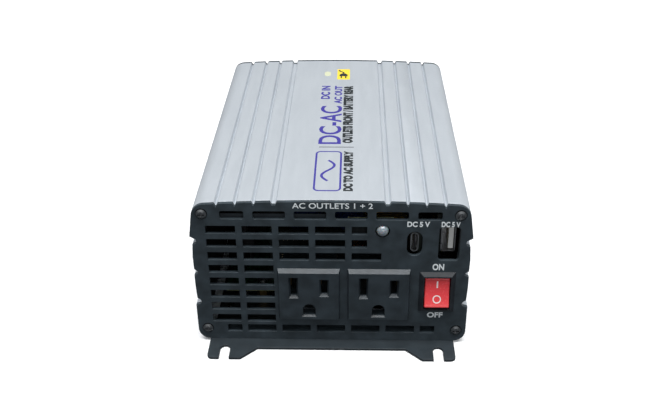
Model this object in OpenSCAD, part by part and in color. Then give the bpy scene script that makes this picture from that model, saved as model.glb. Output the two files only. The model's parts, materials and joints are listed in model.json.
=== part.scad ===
// Compact 1 kW class power inverter: aluminium hood over a steel base plate,
// plastic end panels, two mains outlets, USB ports, rocker switch, fan and battery posts.
// X is the width, Y runs from the front panel to the rear panel, Z is up.

/* [Casing] */
// Overall width of the hood
body_w = 114.4; // [114.2:0.1:114.8]
// Height of the hood's crown above the base plate
body_h = 68.8; // [68.6:0.1:69.4]
// Distance between the outer faces of the two end panels
body_l = 151.6; // [150:0.1:156]
// Radius of the gentle crown across the top
crown_r = 850; // [800:10:1000]
// Depth of the grooves along the top
groove_d = 1.4; // [1.3:0.1:1.6]
// Wall of the hood, measured from the ridges
hood_wall = 3.2; // [3.1:0.1:3.4]
// Thickness of both end panels
panel_t = 1.6; // [1.4:0.1:1.8]
// Thickness of the base plate
plate_t = 1.2; // [1:0.1:1.5]

/* [Base plate] */
// Width of the base plate
plate_w = 104.8; // [104:0.1:105.2]
// Reach of the feet beyond each end panel
foot_reach = 12.6; // [12:0.1:13.5]
// Reach of the plate between the feet
mid_reach = 5.9; // [5.5:0.1:6.5]
// Width of a mounting slot
slot_w = 4.3; // [4.2:0.1:4.5]
// Distance of a mounting slot from the middle
slot_x = 45.3; // [45:0.1:45.6]

/* [Vents] */
// Width of a full vent slot
vent_w = 12.1; // [11.6:0.1:12.3]
// Height of a vent slot
vent_h = 3.7; // [3.4:0.1:3.9]
// Sideways pitch of the vent columns
vent_px = 14.73; // [14.6:0.01:14.8]
// Height pitch of the vent rows
vent_pz = 6.32; // [6.2:0.01:6.35]

/* [Front fittings] */
// Sideways distance between the two outlets
outlet_pitch = 29; // [29:0.1:29.4]
// How far the outlet faces stand out
outlet_out = 2.2; // [2:0.1:2.5]
// Spacing of the two blade slots
blade_pitch = 12.7; // [12.6:0.1:12.8]
// Radius of the round earth hole
earth_r = 2.55; // [2.5:0.01:2.6]
// Swing of the rocker to each side of level
rocker_swing = 10; // [8:1:10]

/* [Rear fittings] */
// Side of the square fan frame
fan_size = 60; // [60:0.1:60.4]
// Number of fan blades
fan_blades = 7; // [5:1:9]
// Radius of the battery studs
stud_r = 3; // [2.9:0.05:3]
// Reach of the studs beyond the rear panel
stud_reach = 22; // [21.8:0.1:24]

/* [Hidden] */
$fn = 48;
eps = 0.01;
fit = 0.05;                              // radial clearance of a turning fit
front_y = foot_reach - (body_l + foot_reach + stud_reach) / 2;
hood_l = body_l - 2 * panel_t;

// hood section
bottom_r = 5;
corner_r = 5.6;
corner_x = body_w / 2 - 7;
v_grooves = [45.54, 38.01, 30.56];
wide_groove = 22.6;
lip_x = 40;
lip_t = 2;
inner_x = body_w / 2 - 3.8;

// corner screws
screw_top = [51.6, 62.8];
screw_low = [53.1, 5.6];
boss_r = 3;
thread_r = 1.25;
head_r = 2.15;

// front fittings, as [x, z]
outlet_z = 24.2;
outlet_x = 5.25;                         // midway between the outlets
blade_dz = 4.3;
earth_dz = -7.3;
outlet_back = 16;
switch_at = [43.9, 25.75];
led_at = [20.8, 55.3];
port_c_at = [33.8, 49.4];
port_a_at = [47.75, 49.35];
port_c_y = 1.5;
port_a_y = 5;

// rocker switch, measured from its pivot
pivot_y = 2;
rocker_r = 7.8;
rocker_w = 10.3;
rocker_edge = 31.8;                      // angle of the rocker's edges above its pivot
well_w = 10.9;
well_r = 8;
seesaw_y = 8.9;
seesaw_tilt = rocker_swing / 2;

// rear fittings
fan_at = [-17.5, 34.4];
fan_t = 15;
fan_y1 = body_l - panel_t;
fan_y0 = fan_y1 - fan_t;
fan_hole = 25;
fan_clear = fan_size / 2 + 0.3;          // half the width of the gap that the rear rim leaves for the fan
post_x = [24.5, 42.5];
post_z = 38;
collar_l = 6;
washer_t = 1;
knob_l = 12.5;
knob_r = 7;
ground_at = [33.5, 13];

// inside
board_z = 8;
board_t = 1.6;
board_top = board_z + board_t;
board_y = [24, 131];
board_w = 96;
transformer_y = 98;
transformer_x = [-19, 12];
core_l = 34;
core_w = 26;
coil_r = 9.5;
sink_x = 41;
choke_at = [20, 44];
tall = 100;                              // longer than any wall that it cuts

// ---------- helpers ----------

// Puts a piece that is drawn from the front face and the plate's top into the shared frame
module place() {
    translate([0, front_y, plate_t]) children();
}

// Extrudes a shape drawn as [x, z] from depth y0 to depth y1
module slab(y0, y1) {
    translate([0, y1, 0]) rotate([90, 0, 0]) linear_extrude(y1 - y0) children();
}

// Cylinder along Y from y0 to y1 at [x, z]
module rod(at, r, y0, y1) {
    translate([at[0], y1, at[1]]) rotate([90, 0, 0]) cylinder(r = r, h = y1 - y0);
}

// Box given by its low and high corners
module block(lo, hi) {
    translate(lo) cube(hi - lo);
}

function crown(x) = body_h - x * x / (2 * crown_r);
function arc(cx, cz, r, a0, a1, n) =
    [for (i = [0:n]) let (a = a0 + (a1 - a0) * i / n) [cx + r * cos(a), cz + r * sin(a)]];
function mirrored(pts) = [for (i = [len(pts) - 1:-1:0]) [-pts[i][0], pts[i][1]]];
function groove(x, top, floor) = [
    [x + top / 2, crown(x + top / 2)], [x + floor / 2, crown(x) - groove_d],
    [x - floor / 2, crown(x) - groove_d], [x - top / 2, crown(x - top / 2)]];

// Right half of the hood's outline, from the base up to the crown
function half_outline() = let (w = body_w / 2, ca = 87) concat(
    arc(w - bottom_r, bottom_r, bottom_r, -90, 0, 8),
    [[w, 18], [w - 1.8, 18.4], [w - 2.6, 19.5], [w - 1.9, 20.7], [w - 0.8, 21.5]],
    [[w - 0.5, 27], [w - 0.5, 33.3], [w - 2.2, 34.2], [w - 2.2, 34.9], [w - 0.6, 36.2]],
    [[w - 0.5, 42], [w - 0.9, 48.2], [w - 2.3, 48.8], [w - 2.6, 49.8], [w - 2.4, 50.8], [w, 52.1]],
    arc(corner_x, crown(corner_x + corner_r * cos(ca)) - corner_r * sin(ca), corner_r, 5, ca, 10),
    [for (g = v_grooves) each groove(g, 1.7, 0.35)],
    groove(wide_groove, 2.8, 1.5),
    [[14, crown(14)], [7, crown(7)]]);

function outline() = let (half = half_outline()) concat(half, mirrored(half));

// Inside of the hood; gap is the clearance kept from its walls
function inside(gap, floor_z) = let (x = inner_x - gap, top = hood_wall + gap,
    half = [[x, floor_z], [x, 60 - gap], [x - 3, crown(x - 3) - top], [22, crown(22) - top]])
    concat(half, mirrored(half));

module at_screws() {
    for (s = [-1, 1], p = [screw_top, screw_low]) translate([s * p[0], p[1]]) children();
}

// Rectangle with rounded corners, centred
module round_rect(w, h, r) {
    square([w - 2 * r, h], center = true);
    square([w, h - 2 * r], center = true);
    for (x = [-1, 1], z = [-1, 1]) translate([x * (w / 2 - r), z * (h / 2 - r)]) circle(r);
}

// Upright slot shape with round ends, centred
module stadium(w, h) {
    square([w, h - w], center = true);
    for (z = [-1, 1]) translate([0, z * (h - w) / 2]) circle(w / 2);
}

// Block that narrows from w0 x h0 at depth y0 to w1 x h1 at depth y1, centred on [x, z]
module taper(at, w0, h0, y0, w1, h1, y1) {
    translate([at[0], 0, at[1]]) intersection() {
        translate([0, 0, -tall / 2]) linear_extrude(tall)
            polygon([[-w0 / 2, y0], [w0 / 2, y0], [w1 / 2, y1], [-w1 / 2, y1]]);
        translate([-tall / 2, 0, 0]) rotate([90, 0, 90]) linear_extrude(tall)
            polygon([[y0, -h0 / 2], [y0, h0 / 2], [y1, h1 / 2], [y1, -h1 / 2]]);
    }
}

// Wire that leaves along Y at depth y0, bends through a quarter turn and drops to z1
module hook(x, y0, z0, y1, z1, r, bend) {
    s = sign(y1 - y0);
    translate([x, min(y0, y1 - s * bend), z0]) rotate([-90, 0, 0])
        cylinder(r = r, h = abs(y1 - y0) - bend);
    translate([x, y1 - s * bend, z0 - bend]) rotate([90, 0, 90]) rotate([0, 0, s > 0 ? 0 : 90])
        rotate_extrude(angle = 90) translate([bend, 0]) circle(r);
    translate([x, y1, z1]) cylinder(r = r, h = z0 - bend - z1);
}

// ---------- casing ----------

module top_cover() color("silver") place() difference() {
    slab(panel_t, panel_t + hood_l) difference() {
        polygon(outline());
        difference() {
            union() {
                polygon(inside(0, lip_t));
                translate([-lip_x, -1]) square([2 * lip_x, lip_t + 2]);
            }
            at_screws() circle(boss_r);
        }
        at_screws() circle(thread_r);
    }
    at_base_screws() cylinder(r1 = 2, r2 = thread_r, h = 0.5);
    at_base_screws() cylinder(r = thread_r, h = lip_t + 1);
}

module at_base_screws() {
    for (x = [-1, 1], i = [0:2]) translate([x * 46, 20 + i * (body_l - 40) / 2, 0]) children();
}

// Places a shape at both ends of the casing, with +Y pointing out of it
module at_ends() {
    for (end = [0, 1]) translate([0, end * body_l, 0]) rotate([0, 0, 180 * (1 - end)]) children();
}

// Right half of one end of the base plate, as [x, y] with y pointing out of the casing
function foot() = concat(
    [[plate_w / 2, -20]],
    arc(plate_w / 2 - 2.2, foot_reach - 2.2, 2.2, 0, 90, 6),
    arc(38.6, foot_reach - 0.8, 0.8, 90, 140, 3),
    [[31.6, mid_reach]]);

module base_plate() color([0.2, 0.22, 0.25]) place() difference() {
    translate([0, 0, -plate_t]) linear_extrude(plate_t) {
        translate([-plate_w / 2, 0]) square([plate_w, body_l]);
        at_ends() polygon(concat(foot(), mirrored(foot())));
    }
    at_ends() for (s = [-1, 1]) translate([s * slot_x, foot_reach - 6, -plate_t - 1]) {
        cylinder(r = slot_w / 2, h = plate_t + 2);
        translate([-slot_w / 2, 0, 0]) cube([slot_w, 10, plate_t + 2]);
    }
    at_base_screws() translate([0, 0, -plate_t]) cylinder(r1 = 3.2, r2 = 2, h = plate_t);
    at_standoffs() translate([0, 0, -plate_t - 1]) cylinder(r = 2, h = plate_t + 2);
}

// Rim behind an end panel that locates it in the hood
module skirt(y0, y1) {
    slab(y0, y1) difference() {
        polygon(inside(0.2, lip_t + 0.3));
        polygon(inside(1.6, lip_t + 1.7));
        at_screws() circle(boss_r + 0.5);
    }
}

module vent(x, z, w) {
    block([x, -1, z - vent_h], [x + w, panel_t + 1, z]);
}

module front_vents() {
    x0 = -50.5;
    top_z = 57.3;
    half_w = 6.2;
    for (row = [0:7], col = [0:4]) {
        if (row < 3 || col < 2)
            vent(x0 + col * vent_px, top_z - row * vent_pz, row < 2 && col == 4 ? half_w : vent_w);
    }
    for (col = [1:5]) vent(x0 + col * vent_px, 7.7, vent_w);
    vent(x0 + half_w - 0.2, 7.7, half_w);
    vent(x0 + 6 * vent_px - 0.2, 7.7, half_w);
    for (s = [-1, 1]) {
        for (i = [0, 1]) slab_hole([s * (8.2 + i * 16.4), 62.4], 12.9, vent_h, 0.8);
        slab_hole([s * 39.5, 62.4], 9.6, vent_h, 0.8);
    }
}

// Hole with rounded corners through a front wall
module slab_hole(at, w, h, r) {
    slab(-1, panel_t + 6) translate(at) round_rect(w, h, r);
}

module screw_seats(y0, y1, deep0, deep1) {
    slab(y0, y1) at_screws() circle(1.6);
    slab(deep0, deep1) at_screws() circle(head_r + 0.35);
}

module front_panel() color([0.14, 0.16, 0.18]) place() difference() {
    union() {
        slab(0, panel_t) polygon(outline());
        skirt(panel_t - eps, panel_t + 4);
    }
    front_vents();
    screw_seats(-1, panel_t + 6, -1, 0.9);
    for (s = [-1, 1]) slab_hole([outlet_x + s * outlet_pitch / 2, outlet_z], 22.9, 22.5, 0.5);
    slab_hole(switch_at, 13.1, 18.7, 0.5);
    rod(led_at, 2.95, -1, panel_t + 1);
    slab(-1, panel_t + 1) translate(port_c_at) stadium(6.2, 11.5);
    slab_hole(port_a_at, 8.6, 16, 1.6);
}

module rear_panel() color([0.14, 0.16, 0.18]) place() difference() {
    union() {
        slab(body_l - panel_t, body_l) polygon(outline());
        difference() {
            skirt(body_l - panel_t - 4, body_l - panel_t + eps);
            block([fan_at[0] - fan_clear, body_l - panel_t - 5, fan_at[1] - fan_clear],
                  [fan_at[0] + fan_clear, body_l - panel_t, fan_at[1] + fan_clear]);
        }
    }
    screw_seats(body_l - panel_t - 6, body_l + 1, body_l - 0.9, body_l + 1);
    rod(fan_at, 28, body_l - panel_t - 6, body_l + 1);
    at_fan_screws() rod([0, 0], 2.1, body_l - panel_t - 6, body_l + 1);
    for (x = post_x) rod([x, post_z], 5, body_l - panel_t - 1, body_l + 1);
    rod(ground_at, 2, body_l - panel_t - 1, body_l + 1);
    for (i = [0:3]) block([19, body_l - panel_t - 1, 50 + i * 3.6], [48, body_l + 1, 52 + i * 3.6]);
}

// Cross-head screw along Y; s is 1 when the head faces +Y
module pan_screw(at, y, s, shank) {
    translate([at[0], y, at[1]]) rotate([-90 * s, 0, 0]) difference() {
        union() {
            cylinder(r = head_r, h = 1);
            translate([0, 0, 1 - eps]) cylinder(r1 = head_r, r2 = head_r - 0.8, h = 0.7);
            translate([0, 0, -shank]) cylinder(r = thread_r, h = shank + eps);
        }
        for (a = [0, 90]) rotate([0, 0, a]) translate([-1.4, -0.25, 0.8]) cube([2.8, 0.5, 1.2]);
    }
}

module front_screws() color([0.1, 0.1, 0.11]) place()
    for (s = [-1, 1], p = [screw_top, screw_low]) pan_screw([s * p[0], p[1]], 0.9, -1, 10);

module rear_screws() color([0.1, 0.1, 0.11]) place()
    for (s = [-1, 1], p = [screw_top, screw_low]) pan_screw([s * p[0], p[1]], body_l - 0.9, 1, 10);

module base_screws() color([0.25, 0.25, 0.27]) place() at_base_screws() difference() {
    translate([0, 0, -plate_t]) union() {
        cylinder(r1 = 3.2, r2 = 2, h = plate_t);
        translate([0, 0, plate_t - eps]) cylinder(r1 = 2, r2 = thread_r, h = 0.5);
        cylinder(r = thread_r, h = plate_t + lip_t + 1.5);
    }
    for (a = [0, 90]) rotate([0, 0, a]) translate([-1.4, -0.25, -plate_t - 0.2]) cube([2.8, 0.5, 1]);
}

// ---------- mains outlets ----------

// Slot with a tapered lead-in, from the outlet's face into its depth
module lead_slot(at, w, h) {
    chamfer = 0.75;
    block([at[0] - w / 2, -outlet_out - 1, at[1] - h / 2], [at[0] + w / 2, 12, at[1] + h / 2]);
    taper(at, w + 2 * chamfer, h + 2 * chamfer, -outlet_out - eps, w, h, -outlet_out + 1.6);
}

// Earth hole: a round bore with a flat floor, behind an arched mouth with a sloping sill
module earth_hole(at) {
    flat = 2.35;
    arch_r = 2.65;
    arch_up = 0.7;
    mouth_l = 5;
    mouth_floor = 2.6;
    sill_l = 1;
    sill_drop = 0.5;
    face_y = -outlet_out;
    slab(face_y - 1, 12) translate(at) intersection() {
        circle(earth_r);
        translate([-tall / 2, -flat]) square([tall, tall]);
    }
    slab(face_y - 1, face_y + mouth_l) translate(at) {
        translate([0, arch_up]) circle(arch_r);
        translate([-arch_r, -mouth_floor]) square([2 * arch_r, mouth_floor + arch_up]);
    }
    translate([at[0], 0, at[1] - mouth_floor]) intersection() {
        translate([0, 0, -tall / 2]) linear_extrude(tall)
            polygon([[-arch_r - 0.4, face_y - eps], [arch_r + 0.4, face_y - eps],
                [arch_r, face_y + sill_l], [-arch_r, face_y + sill_l]]);
        translate([-tall / 2, 0, 0]) rotate([90, 0, 90]) linear_extrude(tall)
            polygon([[face_y - eps, -sill_drop], [face_y + sill_l, 0], [face_y - eps, eps]]);
    }
}

module outlet(x) color([0.13, 0.14, 0.16]) place() difference() {
    union() {
        taper([x, outlet_z], 26, 25.8, 0, 24.8, 23.5, -outlet_out);
        block([x - 11.3, -eps, outlet_z - 11.1], [x + 11.3, outlet_back, outlet_z + 11.1]);
    }
    lead_slot([x - blade_pitch / 2, outlet_z + blade_dz], 2.5, 8.9);
    lead_slot([x + blade_pitch / 2, outlet_z + blade_dz], 2.5, 7.1);
    earth_hole([x, outlet_z + earth_dz]);
    for (s = [-1, 1]) block([x + s * blade_pitch / 2 - 2, 0.2, outlet_z + blade_dz - 5.6],
        [x + s * blade_pitch / 2 + 2, outlet_back + 1, outlet_z + blade_dz + 5.2]);
    rod([x, outlet_z + earth_dz], 3.5, 6, outlet_back + 1);
}

// Brass parts of one outlet: two sprung blade jaws and a split earth sleeve
module outlet_contacts(x) color("goldenrod") place() {
    for (s = [-1, 1]) translate([x + s * blade_pitch / 2, 0, outlet_z + blade_dz]) {
        for (j = [-1, 1]) block([j * 1.6 - 0.3, 4.5, -3], [j * 1.6 + 0.3, 15, 3]);
        block([-1.6 - 0.3, 15 - eps, -3], [1.6 + 0.3, 15.8, 3]);
    }
    difference() {
        rod([x, outlet_z + earth_dz], 3.3, 6.5, 15.8);
        rod([x, outlet_z + earth_dz], 2.35, 6, 15);
        block([x - 0.4, 6, outlet_z + earth_dz - 5], [x + 0.4, 13, outlet_z + earth_dz + 5]);
    }
}

module outlet_left() outlet(outlet_x - outlet_pitch / 2);
module outlet_right() outlet(outlet_x + outlet_pitch / 2);
module outlet_contacts_left() outlet_contacts(outlet_x - outlet_pitch / 2);
module outlet_contacts_right() outlet_contacts(outlet_x + outlet_pitch / 2);

// ---------- rocker switch ----------

module at_switch() {
    translate([switch_at[0], 0, switch_at[1]]) children();
}

// Cylinder along X, centred on the switch, at depth y
module cross_rod(r, w, y) {
    translate([-w / 2, y, 0]) rotate([0, 90, 0]) cylinder(r = r, h = w);
}

module switch_housing() color([0.12, 0.12, 0.13]) place() at_switch() difference() {
    union() {
        taper([0, 0], 15.2, 20.2, 0, 11.6, 17.2, -1.7);
        block([-6.4, -eps, -9.2], [6.4, 14, 9.2]);
    }
    block([-well_w / 2, -3, -well_r], [well_w / 2, pivot_y, well_r]);
    cross_rod(well_r, well_w, pivot_y);
    block([-3, seesaw_y - 2, -6.5], [3, 12, 6.5]);
    cross_rod(1.2 + fit, 12.4, pivot_y);
    for (z = [0, -5]) block([-2.4, 11, z - 0.4], [2.4, 15, z + 0.4]);
}

// One round end of the rocker, as [y, z]; s is 1 for the upper end
function rocker_end(s) = [for (i = [1:6]) let (a = rocker_edge - (rocker_edge + 12) * i / 6)
    [-rocker_r * sin(a), s * rocker_r * cos(a)]];

// Rocker drawn level about its pivot, with a dished face and round ends
module level_rocker() {
    dish_r = 28;
    edge_y = -rocker_r * sin(rocker_edge);
    half_a = asin(rocker_r * cos(rocker_edge) / dish_r);
    face = [for (i = [0:10]) let (t = half_a * (1 - i / 5))
        [edge_y + dish_r * (cos(t) - cos(half_a)), dish_r * sin(t)]];
    upper = rocker_end(1);
    back = concat([[3.4, -2.4], [3.4, 2.4]], [for (i = [len(upper) - 1:-1:0]) upper[i]]);
    translate([-rocker_w / 2, 0, 0]) rotate([90, 0, 90]) linear_extrude(rocker_w)
        polygon(concat(face, rocker_end(-1), back));
    cross_rod(1.2, 12.2, 0);
}

module switch_rocker() color([0.78, 0.16, 0.18]) place() at_switch() translate([0, pivot_y, 0])
    rotate([-rocker_swing, 0, 0]) level_rocker();

// Spring-loaded pin that rides in the rocker and tips the seesaw contact
module switch_plunger() color("silver") place() at_switch() translate([0, pivot_y, 0])
    rotate([-rocker_swing, 0, 0]) {
        translate([0, 3.4, 0]) rotate([-90, 0, 0]) cylinder(r = 1.1, h = 1.4);
        translate([0, 4.8 - eps, 0]) rotate([-90, 0, 0]) cylinder(r = 0.7, h = 1.5);
    }

module switch_seesaw() color("goldenrod") place() at_switch() translate([0, seesaw_y, 0])
    rotate([seesaw_tilt, 0, 0]) {
        block([-1.5, -0.3, -5.4], [1.5, 0.3, 5.4]);
        cross_rod(0.55, 3, 0);
        translate([0, 0.3 - eps, -4.6]) rotate([-90, 0, 0]) cylinder(r = 1, h = 0.3);
    }

module switch_terminals() color("goldenrod") place() at_switch() for (z = [0, -5])
    block([-2.4, z == 0 ? 9.5 : 10.2, z - 0.4], [2.4, 20, z + 0.4]);

// ---------- indicator and USB ports ----------

module status_led() color([0.75, 0.78, 0.8]) place() translate([led_at[0], 0, led_at[1]]) {
    r = 2.5;
    rod([0, 0], r, 1, 4.2);
    rod([0, 0], r + 0.4, 4.2 - eps, 5.2);
    translate([0, 1 + eps, 0]) rotate([90, 0, 0]) intersection() {
        sphere(r = r);
        cylinder(r = r + 1, h = r + 1);
    }
}

module led_board() color([0.55, 0.62, 0.3]) place()
    block([6.7, 5.2, 50], [25.5, 6.8, 57.9]);

module usb_c_shell() color([0.6, 0.61, 0.62]) place() difference() {
    wall = 0.3;
    slab(port_c_y, port_c_y + 7.3) translate(port_c_at) stadium(3.2, 8.94);
    slab(port_c_y - 1, port_c_y + 7.3 - wall) translate(port_c_at)
        stadium(3.2 - 2 * wall, 8.94 - 2 * wall);
}

module usb_c_tongue() color([0.08, 0.08, 0.09]) place()
    block([port_c_at[0] - 0.35, port_c_y + 0.8, port_c_at[1] - 3.3],
          [port_c_at[0] + 0.35, port_c_y + 7, port_c_at[1] + 3.3]);

module usb_c_board() color([0.1, 0.3, 0.2]) place()
    block([port_c_at[0] + 1.6, 4, 42.6], [port_c_at[0] + 3.2, 26, 57.6]);

module usb_a_shell() color([0.6, 0.61, 0.62]) place() difference() {
    wall = 0.35;
    slab(port_a_y, port_a_y + 13.6) translate(port_a_at) round_rect(5.9, 13.1, 0.8);
    slab(port_a_y - 1, port_a_y + 13.6 - wall) translate(port_a_at)
        round_rect(5.9 - 2 * wall, 13.1 - 2 * wall, 0.45);
}

module usb_a_tongue() color([0.8, 0.8, 0.78]) place()
    block([port_a_at[0] + 0.2, port_a_y + 0.9, port_a_at[1] - 5.6],
          [port_a_at[0] + 2.2, port_a_y + 13.2, port_a_at[1] + 5.6]);

module usb_a_board() color([0.1, 0.3, 0.2]) place()
    block([port_a_at[0] - 4.55, 8, 40.6], [port_a_at[0] - 2.95, 34, 58.6]);

// ---------- fan ----------

module at_fan_screws() {
    for (x = [-1, 1], z = [-1, 1])
        translate([fan_at[0] + x * fan_hole, 0, fan_at[1] + z * fan_hole]) children();
}

module fan_frame() color([0.1, 0.1, 0.11]) place() difference() {
    union() {
        difference() {
            slab(fan_y0, fan_y1) translate(fan_at) round_rect(fan_size, fan_size, 4);
            rod(fan_at, 28.5, fan_y0 - 1, fan_y1 + 1);
        }
        rod(fan_at, 13, fan_y0, fan_y0 + 2.4);
        for (a = [30:120:270]) translate([fan_at[0], fan_y0, fan_at[1]]) rotate([0, a, 0])
            block([10, 0, -1.2], [29, 2, 1.2]);
        rod(fan_at, 4, fan_y0, fan_y0 + 9);
    }
    rod(fan_at, 2.5, fan_y0 + 0.8, fan_y1);
    at_fan_screws() rod([0, 0], 2.1, fan_y0 - 1, fan_y1 + 1);
}

module fan_bearing() color("goldenrod") place() difference() {
    rod(fan_at, 2.5, fan_y0 + 0.8, fan_y0 + 9);
    rod(fan_at, 1.5 + fit, fan_y0, fan_y0 + 10);
}

module fan_shaft() color("silver") place() rod(fan_at, 1.5, fan_y0 + 1.2, fan_y0 + 11);

module fan_rotor() color([0.08, 0.08, 0.09]) place() {
    difference() {
        rod(fan_at, 12.5, fan_y0 + 3, fan_y0 + 12);
        rod(fan_at, 11.3, fan_y0 + 2, fan_y0 + 10.6);
        rod(fan_at, 1.5, fan_y0, fan_y0 + 11);
    }
    translate([fan_at[0], fan_y0 + 7.5, fan_at[1]]) intersection() {
        rotate([90, 0, 0]) difference() {
            cylinder(r = 27.6, h = 9, center = true);
            cylinder(r = 12.3, h = 10, center = true);
        }
        for (i = [0:fan_blades - 1]) rotate([0, i * 360 / fan_blades, 0]) rotate([40, 0, 0])
            translate([11, -8, -0.6]) cube([20, 16, 1.2]);
    }
}

// Finger guard: wire rings on four spokes that end in screw eyes
module fan_guard() color([0.3, 0.31, 0.33]) place() translate([fan_at[0], body_l + 1, fan_at[1]]) {
    wire = 0.8;
    rotate([90, 0, 0]) for (r = [8, 14, 20, 26]) rotate_extrude() translate([r, 0]) circle(wire);
    for (a = [45:90:315]) rotate([0, a, 0]) difference() {
        union() {
            translate([7.8, 0, 0]) rotate([0, 90, 0]) cylinder(r = wire, h = fan_hole * sqrt(2) - 10);
            translate([fan_hole * sqrt(2), 0.7, 0]) rotate([90, 0, 0]) cylinder(r = 3.4, h = 1.7);
        }
        translate([fan_hole * sqrt(2), 2, 0]) rotate([90, 0, 0]) cylinder(r = 2.1, h = 4);
    }
}

// Fan screws, each with its nut run up behind the fan
module fan_screws() color([0.1, 0.1, 0.11]) place() at_fan_screws() difference() {
    union() {
        rod([0, 0], 3.2, body_l + 1.7, body_l + 3.5);
        rod([0, 0], 2, fan_y0 - 3, body_l + 1.7 + eps);
        rod([0, 0], 3.4, fan_y0 - 2.4, fan_y0, $fn = 6);
    }
    for (a = [0, 90]) translate([0, body_l + 2.6, 0]) rotate([0, a, 0])
        block([-1.8, 0, -0.3], [1.8, 1, 0.3]);
}

// ---------- battery posts ----------

// Insulating collar through the rear panel, with a flange outside and a clip inside
module collar(x) place() difference() {
    union() {
        rod([x, post_z], 8.2, body_l, body_l + 2);
        rod([x, post_z], 6.6, body_l, body_l + collar_l);
        rod([x, post_z], 4.9, body_l - 6, body_l + 1);
    }
    rod([x, post_z], stud_r, body_l - 7, body_l + collar_l + 1);
}

// Threaded stud with the nut that clamps its collar from inside
module stud(x) color([0.78, 0.66, 0.35]) place() {
    tip_r = stud_r - 0.4;
    chamfer = 0.5;
    rod([x, post_z], stud_r, body_l - 14, body_l + collar_l + washer_t + knob_l);
    rod([x, post_z], tip_r, body_l, body_l + stud_reach - chamfer);
    translate([x, body_l + stud_reach - chamfer - eps, post_z]) rotate([-90, 0, 0])
        cylinder(r1 = tip_r, r2 = tip_r - chamfer, h = chamfer + eps);
    rod([x, post_z], 5.8, body_l - 10, body_l - 6, $fn = 6);
}

module post_washer(x) color("silver") place() difference() {
    rod([x, post_z], 6.2, body_l + collar_l, body_l + collar_l + washer_t);
    rod([x, post_z], stud_r + fit, body_l, body_l + 20);
}

module knob(x) place() translate([x, body_l + collar_l + washer_t, post_z]) difference() {
    union() {
        rod([0, 0], knob_r, 0, knob_l - 1.2);
        translate([0, knob_l - 1.2, 0]) rotate([-90, 0, 0])
            cylinder(r1 = knob_r, r2 = knob_r - 1.2, h = 1.2);
    }
    rod([0, 0], stud_r + fit, -1, knob_l + 1);
    for (i = [0:13]) rotate([0, i * 360 / 14, 0]) rod([knob_r + 0.35, 0], 0.9, 2, knob_l + 1);
}

module positive_collar() color([0.7, 0.1, 0.1]) collar(post_x[0]);
module negative_collar() color([0.08, 0.08, 0.08]) collar(post_x[1]);
module positive_stud() stud(post_x[0]);
module negative_stud() stud(post_x[1]);
module positive_washer() post_washer(post_x[0]);
module negative_washer() post_washer(post_x[1]);
module positive_knob() color([0.75, 0.1, 0.1]) knob(post_x[0]);
module negative_knob() color([0.08, 0.08, 0.08]) knob(post_x[1]);

module ground_screw() color([0.78, 0.66, 0.35]) place() {
    difference() {
        union() {
            rod(ground_at, 2, body_l - 8, body_l + 2);
            rod(ground_at, 4.2, body_l, body_l + 0.9);
            rod(ground_at, 3.4, body_l + 0.9 - eps, body_l + 3.4);
        }
        block([ground_at[0] - 5, body_l + 2.6, ground_at[1] - 0.4],
              [ground_at[0] + 5, body_l + 4, ground_at[1] + 0.4]);
    }
    rod(ground_at, 4, body_l - panel_t - 3, body_l - panel_t, $fn = 6);
}

// ---------- main board and what stands on it ----------

module at_standoffs() {
    for (x = [-32, 32], i = [0:2]) translate([x, board_y[0] + 6 + i * 47.5, 0]) children();
}

module board_standoffs() color("goldenrod") place() at_standoffs() difference() {
    union() {
        cylinder(r = 3, h = board_z, $fn = 6);
        translate([0, 0, -plate_t]) cylinder(r = 2, h = plate_t + 1);
    }
    translate([0, 0, 2]) cylinder(r = thread_r, h = board_z);
}

module board_screws() color([0.6, 0.6, 0.62]) place() at_standoffs() {
    translate([0, 0, board_top]) cylinder(r = 2.8, h = 1.8);
    translate([0, 0, 3]) cylinder(r = thread_r, h = board_top - 3 + eps);
}

module main_board() color([0.12, 0.35, 0.18]) place() difference() {
    block([-board_w / 2, board_y[0], board_z], [board_w / 2, board_y[1], board_top]);
    at_standoffs() cylinder(r = 1.5, h = 20);
}

// Places a shape at each of the two high-frequency transformers
module at_transformers() {
    for (x = transformer_x) translate([x, transformer_y, board_top + 3]) children();
}

module transformer_cores() color([0.2, 0.2, 0.21]) place() at_transformers() difference() {
    block([-core_w / 2, -core_l / 2, 0], [core_w / 2, core_l / 2, 32]);
    translate([0, 0, 5]) difference() {
        block([-20, -core_l / 2 + 6, 0], [20, core_l / 2 - 6, 22]);
        cylinder(r = 5, h = 22);
    }
}

module transformer_windings() color([0.85, 0.75, 0.3]) place() at_transformers() {
    difference() {
        translate([0, 0, 5.2]) cylinder(r = coil_r, h = 21.6);
        translate([0, 0, 5]) cylinder(r = 5.2, h = 22);
    }
    for (x = [-1, 1], y = [-1, 0, 1]) translate([x * 9, y * 10, -3]) cylinder(r = 0.5, h = 3);
}

// Bar with cooling fins along its outer side; side is 1 for fins towards +X
module heat_sink(x, y0, y1, side) color([0.7, 0.72, 0.74]) place() {
    lo = side > 0 ? x : x - 3;
    block([lo, y0, board_top], [lo + 3, y1, 48]);
    for (i = [0:4]) {
        z = board_top + 3 + i * 8;
        block([side > 0 ? x + 3 - eps : x - 8, y0, z], [side > 0 ? x + 8 : x - 3 + eps, y1, z + 1.2]);
    }
}

module heat_sink_dc() heat_sink(sink_x, 64, 124, 1);
module heat_sink_ac() heat_sink(-sink_x, 40, 84, -1);

// TO-220 power transistor standing against a bar on its +X or -X side
module transistor(side) {
    block([min(0, side * 1.3), -5, 9], [max(0, side * 1.3), 5, 24.5]);
    block([min(0, side * 4.4), -5, 8.8], [max(0, side * 4.4), 5, 18]);
    for (i = [-1, 0, 1])
        block([side * 2.4 - 0.3, i * 2.54 - 0.4, 0], [side * 2.4 + 0.3, i * 2.54 + 0.4, 9]);
}

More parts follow.
